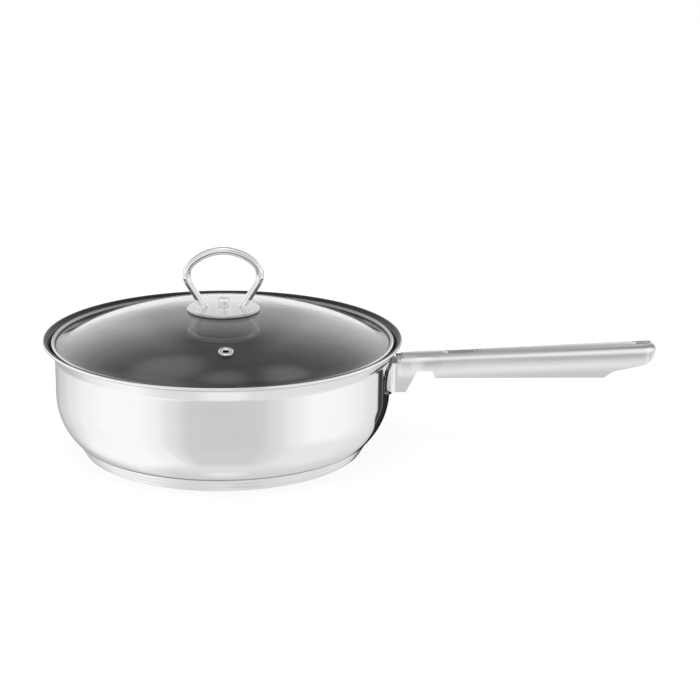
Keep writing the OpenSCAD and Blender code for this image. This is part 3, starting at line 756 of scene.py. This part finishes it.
# The places round the handle seen from above: x, y, outward direction, the point on top that
# the shoulder runs to, and how far the shoulder drops
def handlePlan():
    # close together where the lower edge turns
    places = [127.0, 130.5, 132.9, 135, 137, 139, 141.04, 146, 152.5, 154.8]
    places += [160 + 6 * i for i in range(20)]
    places += [279.6, 281.5, 283.5, 286.7, 290, 294, 298, 301, 304, 307, 310, 312]
    plan = []
    for x in places:
        grown = smoothStep(x, handle["startX"], 300)
        inset, drop = [low + (high - low) * grown
                       for low, high in (handle["shoulder"], handle["shoulderDrop"])]
        half = handleWidth(x) / 2
        plan.append((x, half, 90, (x, max(0.4, half - inset)), drop))
    corner, tip, half = handle["noseCorner"], handle["noseShoulder"], handle["noseWidth"] / 2
    ridge = half - handle["shoulder"][1]
    for angle in (90, 76, 62, 48, 34, 20, 8):
        a = math.radians(angle)
        inner = (handleEnd - tip - handle["noseSkew"] * angle / 90, ridge)
        drop = tip + (handle["shoulderDrop"][1] - tip) * math.sin(a)
        plan.append((handleEnd - corner + corner * math.cos(a), half - corner
                     + corner * math.sin(a), angle, inner, drop))
    return plan + [(handleEnd, y, 0, (handleEnd - tip, ridge * y / (half - corner + 1)), tip)
                   for y in (half - corner, 6, 3, 0)]


# How far the cheek stands in from the plan, at a depth below the top
def cheekInset(depth, edgeDepth):
    bend = [max(0, handle["bellyBelow"] - d) ** 2 for d in (depth, edgeDepth)]
    return handle["bellyCurve"] * (bend[0] - bend[1])


# One row of the handle: the plan at a height up the cheek, or at an angle over the shoulder
def handleRow(bm, plan, level):
    verts = []
    for x, y, facing, inner, drop in plan:
        out = Vector((math.cos(math.radians(facing)), math.sin(math.radians(facing))))
        top = handleTop(min(x, handleEnd)) + handle["crown"]
        edgeDepth = top - handleEdge(x)
        drop = min(drop, handle["dropLimit"] * edgeDepth)
        # the angle of the shoulder at which it leads on from the cheek
        start, reach = 0.2, (Vector(inner) - Vector((x, y))).length
        for attempt in range(4):
            joint = drop * (1 - math.sin(start))
            lean = 2 * handle["bellyCurve"] * max(0, handle["bellyBelow"] - joint)
            start = math.atan(lean * drop * math.cos(start)
                              / (reach - cheekInset(joint, edgeDepth)))
        if level <= 1:
            depth = edgeDepth + (joint - edgeDepth) * level
            place = Vector((x, y)) - out * cheekInset(depth, edgeDepth)
        else:
            a = start + (math.pi / 2 - start) * (level - 1)
            depth = drop * (1 - math.sin(a))
            place = Vector((x, y)) - out * cheekInset(joint, edgeDepth)
            place = place.lerp(Vector(inner), 1 - math.cos(a) / math.cos(start))
        verts.append(bm.verts.new((place.x * mm, max(0, place.y) * mm, (top - depth) * mm)))
    return [bm.edges.new(pair) for pair in zip(verts, verts[1:])]


def makeHandle():
    plan = handlePlan()
    levels = [0, 0.03, 0.15, 0.3, 0.45, 0.6, 0.75, 0.9, 1] + [1 + i / 16 for i in range(1, 17)]
    bm = bmesh.new()
    row = handleRow(bm, plan, levels[0])
    for level in levels[1:]:
        nextRow = handleRow(bm, plan, level)
        bmesh.ops.bridge_loops(bm, edges=row + nextRow)
        row = nextRow
    # one side and its mirror, then the flat of the top between them
    bmesh.ops.mirror(bm, geom=bm.verts[:] + bm.edges[:] + bm.faces[:], axis="Y", merge_dist=2e-6)
    bmesh.ops.remove_doubles(bm, verts=bm.verts, dist=2e-6)
    rim = [edge for edge in bm.edges if edge.is_boundary
           and all(v.co.z > handleTop(v.co.x / mm) * mm for v in edge.verts)]
    bmesh.ops.contextual_create(bm, geom=rim)
    piece = finishPiece(bm, "longHandle", handleSteel, 50)
    shell = piece.modifiers.new("sheet", "SOLIDIFY")
    shell.thickness = handle["sheet"] * mm
    shell.offset = -1
    piece.data.materials.append(innerSteel)  # the inside is rougher, left unpolished, and its darker grey is painted shade
    shell.material_offset = 1
    cutters = []
    for label in ("coolSlot", "hangSlot"):
        middle, length, width = handle[label]
        # a round bar pulled apart in the middle cuts the slot
        bm = bmesh.new()
        bmesh.ops.create_cone(bm, cap_ends=True, segments=48, radius1=width / 2 * mm,
                              radius2=width / 2 * mm, depth=30 * mm,
                              matrix=Matrix.Rotation(math.radians(3.75), 4, "Z"))
        for vert in bm.verts:
            vert.co.x += math.copysign((length - width) / 2 * mm, vert.co.x)
        bmesh.ops.translate(bm, verts=bm.verts, vec=(middle * mm, 0, handle["cutHeight"] * mm))
        cutters.append(finishPiece(bm, label, handleSteel))
    gapLength, gapWidth = handle["rootGap"]
    bm = bmesh.new()
    bmesh.ops.create_cube(bm, size=1)
    bmesh.ops.scale(bm, verts=bm.verts, vec=(gapLength * 2 * mm, gapWidth * mm, 10 * mm))
    bmesh.ops.translate(bm, verts=bm.verts,
                        vec=(handle["startX"] * mm, 0, handle["gapHeight"] * mm))
    cutters.append(finishPiece(bm, "rootGap", handleSteel))
    for cutter in cutters:
        cutBy(piece, cutter)
    soften(piece, 0.35)
    settle(piece)
    for cutter in cutters:
        bpy.data.objects.remove(cutter)
    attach(piece, "pan")
    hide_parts("long_handle")


makeHandle()
print("handle made")

# Bracket: a flange on the wall, given as (sideways, height) points, and two ears
bracket = dict(wall=121.4, sheet=1.6, earOut=127.0, earHalf=11.0, bend=3.6, low=40.6,
               earTop=62.3, corner=2.5,
               flange=((15.0, 40.6), (35.0, 46.5), (42.0, 51.0), (41.0, 60.0), (36.0, 64.8)))


def makeBracket():
    wall, sheet = bracket["wall"], bracket["sheet"]
    bm = bmesh.new()
    outline = bracket["flange"] + tuple((-y, z) for y, z in bracket["flange"][::-1])
    verts = [bm.verts.new((wall * mm, y * mm, z * mm)) for y, z in outline]
    bm.faces.new(verts)
    bmesh.ops.bevel(bm, geom=verts, offset=bracket["corner"] * mm, offset_type="OFFSET",
                    segments=5, profile=0.5, affect="VERTICES", material=-1)
    for step in range(-19, 20):
        bmesh.ops.bisect_plane(bm, geom=bm.verts[:] + bm.edges[:] + bm.faces[:],
                               plane_co=(0, step * 2 * mm, 0), plane_no=(0, 1, 0))
    made = bmesh.ops.extrude_face_region(bm, geom=bm.faces[:])["geom"]
    outer = set(vertsIn(made))
    bm.normal_update()
    for face in bm.faces:  # the upright edge of the sheet gets near-black steel, a painted shadow line against the wall
        share = sum(vert in outer for vert in face.verts) / len(face.verts)
        face.material_index = 1 if 0 < share < 1 and abs(face.normal.z) < 0.4 else 0
    for vert in bm.verts:  # wraps the plate round the wall of the pan
        reach = (wall + (sheet if vert in outer else 0.03)) * mm
        a = vert.co.y / reach
        vert.co.x, vert.co.y = reach * math.cos(a), reach * math.sin(a)
    # the two ears, each with the curve that leads it into the flange
    half, bend = bracket["earHalf"], bracket["bend"]
    for side in (-1, 1):
        centre = (wall + sheet + bend - 0.8, half + bend)
        plan = ([(wall + 0.4, half - sheet), (bracket["earOut"], half - sheet),
                 (bracket["earOut"], half)] + arc(centre, bend, 270, 180, 10)
                + [(wall + 0.4, half + bend)])
        ring = [bm.verts.new((x * mm, side * y * mm, bracket["low"] * mm)) for x, y in plan]
        face = bm.faces.new(ring)
        made = bmesh.ops.extrude_face_region(bm, geom=[face])["geom"]
        bmesh.ops.translate(bm, verts=vertsIn(made),
                            vec=(0, 0, (bracket["earTop"] - bracket["low"]) * mm))
    piece = finishPiece(bm, "handleBracket", knobSteel, 40)
    # second slot: painted shadow on the flange's upright edge
    piece.data.materials.append(paintedShadowSteel)
    soften(piece, 0.3)
    settle(piece)
    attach(piece, "pan")
    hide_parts("handle_bracket")


makeBracket()
print("bracket made")


# Floor: reach and drop in metres; its own light lies over the shadows by glowShare
floorSet = dict(reach=12.0, drop=0.0002, grainScale=300.0, pale=(0.9, 0.93), roughness=0.9,
                specular=0.1, glow=1.03, glowShare=0.85)


def makeFloor(look):
    bm = bmesh.new()
    bmesh.ops.create_grid(bm, x_segments=4, y_segments=4, size=look["reach"])
    bmesh.ops.translate(bm, verts=bm.verts, vec=(0, 0, -look["drop"]))
    material, tree, shader = newMaterial("paleFloor")
    grain = noiseNode(tree, objectPlace(tree), look["grainScale"])
    feed(tree, shader, {
        "Base Color": rangeNode(tree, grain, 0.3, 0.7, *look["pale"]),
        "Roughness": look["roughness"], "Specular IOR Level": look["specular"]})
    glow = addNode(tree, "ShaderNodeEmission", {"Color": (1, 1, 1, 1), "Strength": look["glow"]})
    paths = addNode(tree, "ShaderNodeLightPath").outputs
    seen = mathNode(tree, "ADD", paths["Is Camera Ray"], paths["Is Transmission Ray"], clamp=True)
    mixed = addNode(tree, "ShaderNodeMixShader", {
        0: mathNode(tree, "MULTIPLY", seen, look["glowShare"]),
        1: shader.outputs[0], 2: glow.outputs[0]})
    feed(tree, tree.nodes["Material Output"], {"Surface": mixed.outputs[0]})
    floor = finishPiece(bm, "floor", material)
    floor.visible_glossy = False


makeFloor(floorSet)

# Lamp: place and size in metres, power in watts
lampSet = dict(place=(-0.25, -0.35, 1.5), size=1.1, power=9.0)


def makeLamp(look):
    data = bpy.data.lights.new("softLamp", "AREA")
    data.shape = "DISK"
    data.size = look["size"]
    data.energy = look["power"]
    lamp = bpy.data.objects.new("softLamp", data)
    scene.collection.objects.link(lamp)
    lamp.location = look["place"]
    aim(lamp, -Vector(look["place"]))
    lamp.visible_glossy = False
    lamp.visible_transmission = False


makeLamp(lampSet)

# Brightness that the metal and the glass find in each direction of the studio.
# Rings: turns round the object from behind over the left, front and right (0 to 1), just below
# the horizon and near the ground. Skies: height of the direction, from -0.25 (0) to 1 (1).
studio = dict(
    ring=((0.0, 0.33), (0.03, 0.42), (0.06, 0.53), (0.10, 0.68), (0.155, 0.84), (0.2, 0.97),
          (0.27, 1.04), (0.33, 1.03), (0.365, 0.97), (0.4, 0.81), (0.436, 0.665), (0.47, 0.645),
          (0.53, 0.645), (0.564, 0.66), (0.6, 0.77), (0.635, 0.91), (0.68, 1.02), (0.74, 1.01),
          (0.79, 0.94), (0.83, 0.84), (0.86, 0.8), (0.93, 0.6), (0.97, 0.4), (1.0, 0.33)),
    lowRing=((0.0, 0.4), (0.05, 0.55), (0.083, 0.68), (0.11, 0.88), (0.14, 0.98), (0.17, 1.03),
             (0.3, 1.04), (0.37, 0.96), (0.4, 0.81), (0.436, 0.67), (0.564, 0.67), (0.6, 0.74),
             (0.66, 0.86), (0.78, 0.86), (0.86, 0.8), (0.95, 0.75), (1.0, 0.75)),
    # the dark strip behind on the right, from its near side to its far side; below the height
    # called dive its near side swings away
    strip=dict(start=0.861, end=0.975, soft=0.008, softEnd=0.015,
               dive=-0.33, diveRate=8, divePower=3.4, diveReach=0.026,
               tones=((0.0, 0.07), (0.12, 0.045), (0.22, 0.05), (0.27, 0.18), (0.31, 0.03),
                      (0.7, 0.015), (1.0, 0.02))),
    backSky=((0.0, 0.9), (0.2, 0.98), (0.36, 1.02), (0.488, 1.01), (0.568, 0.87), (0.64, 0.71),
             (0.712, 0.57), (0.792, 0.42), (0.856, 0.33), (0.94, 0.33), (0.975, 0.6), (1.0, 1.0)),
    frontSky=((0.0, 0.66), (0.064, 0.8), (0.136, 1.02), (0.2, 0.98), (0.256, 0.86), (0.328, 0.78),
              (0.4, 0.74), (0.6, 0.74), (0.744, 0.8), (0.856, 0.95), (0.96, 1.0), (1.0, 1.0)),
    # a darker panel in front on the right: its two sides as turns, and how dark it is, as a sky
    panel=dict(near=0.505, far=0.585, soft=0.018),
    panelDip=((0.0, 0.0), (0.13, 0.0), (0.2, 0.16), (0.27, 0.32), (0.64, 0.34), (0.76, 0.2),
              (0.84, 0.0), (1.0, 0.0)),
    # how much darker the sky is right behind, by plain height (0 to 1)
    backDip=((0.0, 0.0), (0.1, 0.0), (0.25, 0.28), (0.42, 0.3), (0.5, 0.42), (0.62, 0.5),
             (0.72, 0.25), (0.8, 0.0), (1.0, 0.0)),
    # soft lights high up: turn from the front and height in degrees, width and strength
    patches=((-160, 54, 12, 0.45), (154, 57, 9, 0.5), (180, 65, 8, 0.35), (0, 80, 18, 0.3)),
    deep=0.79, nadir=0.93, diffuse=0.95)


def makeWorld(look):
    world = bpy.data.worlds.new("studio")
    world.use_nodes = True
    scene.world = world
    tree = world.node_tree
    tree.nodes.clear()

    def mixed(share, first, second):
        colours = [(c,) * 3 + (1,) if isinstance(c, float) else c for c in (first, second)]
        return addNode(tree, "ShaderNodeMix", {0: share, 6: colours[0], 7: colours[1]},
                       data_type="RGBA").outputs[2]

    def times(a, b):
        return mathNode(tree, "MULTIPLY", a, b)

    way = addNode(tree, "ShaderNodeTexCoord").outputs["Generated"]
    parts = addNode(tree, "ShaderNodeSeparateXYZ", {0: way}).outputs
    height = parts[2]
    turn = mathNode(tree, "ARCTAN2", parts[0], times(parts[1], -1))
    round01 = rangeNode(tree, turn, -math.pi, math.pi, 0, 1)
    behind = rangeNode(tree, parts[1], -0.45, 0.25, 0, 1, "SMOOTHSTEP")
    rear = rangeNode(tree, parts[1], 0.75, 0.92, 0, 1, "SMOOTHSTEP")
    # below the horizon: the two rings, the dark strip and the ground right below
    ring = mixed(rangeNode(tree, height, -0.65, -0.45, 1, 0, "SMOOTHSTEP"),
                 rampNode(tree, round01, look["ring"]), rampNode(tree, round01, look["lowRing"]))
    strip = look["strip"]
    depth = times(mathNode(tree, "SUBTRACT", strip["dive"], height), strip["diveRate"])
    depth = mathNode(tree, "MAXIMUM", depth, 0)
    bent = times(mathNode(tree, "POWER", depth, strip["divePower"]), strip["diveReach"])
    sideways = mathNode(tree, "SUBTRACT", round01, bent)
    opened = rangeNode(tree, sideways, strip["start"], strip["start"] + strip["soft"], 0, 1)
    closed = rangeNode(tree, round01, strip["end"], strip["end"] + strip["softEnd"], 1, 0)
    across = rangeNode(tree, round01, strip["start"], strip["end"], 0, 1)
    shade = rampNode(tree, across, strip["tones"], "LINEAR")
    ring = mixed(times(opened, closed), ring, shade)
    ground = mixed(rangeNode(tree, height, -0.96, -0.86, 1, 0, "SMOOTHSTEP"), ring, look["deep"])
    ground = mixed(rangeNode(tree, height, -0.9995, -0.985, 1, 0, "SMOOTHSTEP"), ground,
                   look["nadir"])
    dim = rangeNode(tree, height, -0.25, -0.17, 0, 0.6)
    ground = mixed(times(dim, rear), ground, 0.0)
    # above it
    level = rangeNode(tree, height, -0.25, 1, 0, 1)
    backSky = rampNode(tree, level, look["backSky"])
    frontSky = rampNode(tree, level, look["frontSky"])
    offFront = mathNode(tree, "ABSOLUTE", mathNode(tree, "SUBTRACT", round01, 0.5))
    rightBehind = rangeNode(tree, offFront, 0.465, 0.488, 0, 1, "SMOOTHSTEP")
    dip = times(rampNode(tree, height, look["backDip"]), rightBehind)
    backSky = mixed(dip, backSky, 0.0)
    panel = look["panel"]
    within = times(rangeNode(tree, round01, panel["near"], panel["near"] + panel["soft"], 0, 1),
                   rangeNode(tree, round01, panel["far"] - panel["soft"], panel["far"], 1, 0))
    panelDip = times(rampNode(tree, level, look["panelDip"]), within)
    frontSky = mixed(panelDip, frontSky, 0.0)
    sky = mixed(behind, frontSky, backSky)
    for side, lift, width, gain in look["patches"]:
        a, b = math.radians(side), math.radians(lift)
        middle = (math.sin(a) * math.cos(b), -math.cos(a) * math.cos(b), math.sin(b))
        near = addNode(tree, "ShaderNodeVectorMath", {0: way, 1: middle},
                       operation="DOT_PRODUCT").outputs["Value"]
        share = rangeNode(tree, near, math.cos(math.radians(width)), 1, 0, 1, "SMOOTHSTEP")
        spot = times(times(share, share), gain)
        sky = addNode(tree, "ShaderNodeMix", {0: 1.0, 6: sky, 7: spot}, data_type="RGBA",
                      blend_type="ADD").outputs[2]
    frontEdge = rangeNode(tree, height, -0.29, -0.21, 0, 1)
    backEdge = rangeNode(tree, height, -0.1, -0.03, 0, 1)
    above = addNode(tree, "ShaderNodeMix", {0: behind, 2: frontEdge, 3: backEdge}).outputs[0]
    seenByGloss = mixed(above, ground, sky)
    paths = addNode(tree, "ShaderNodeLightPath").outputs
    indirect = mathNode(tree, "ADD", paths["Is Glossy Ray"], paths["Is Transmission Ray"],
                        clamp=True)
    plain = mixed(paths["Is Camera Ray"], look["diffuse"], 1.0)
    light = addNode(tree, "ShaderNodeBackground", {
        "Color": mixed(indirect, plain, seenByGloss), "Strength": 1.0})
    addNode(tree, "ShaderNodeOutputWorld", {"Surface": light.outputs[0]})


makeWorld(studio)
scene.view_settings.view_transform = "Standard"
print("stage made")
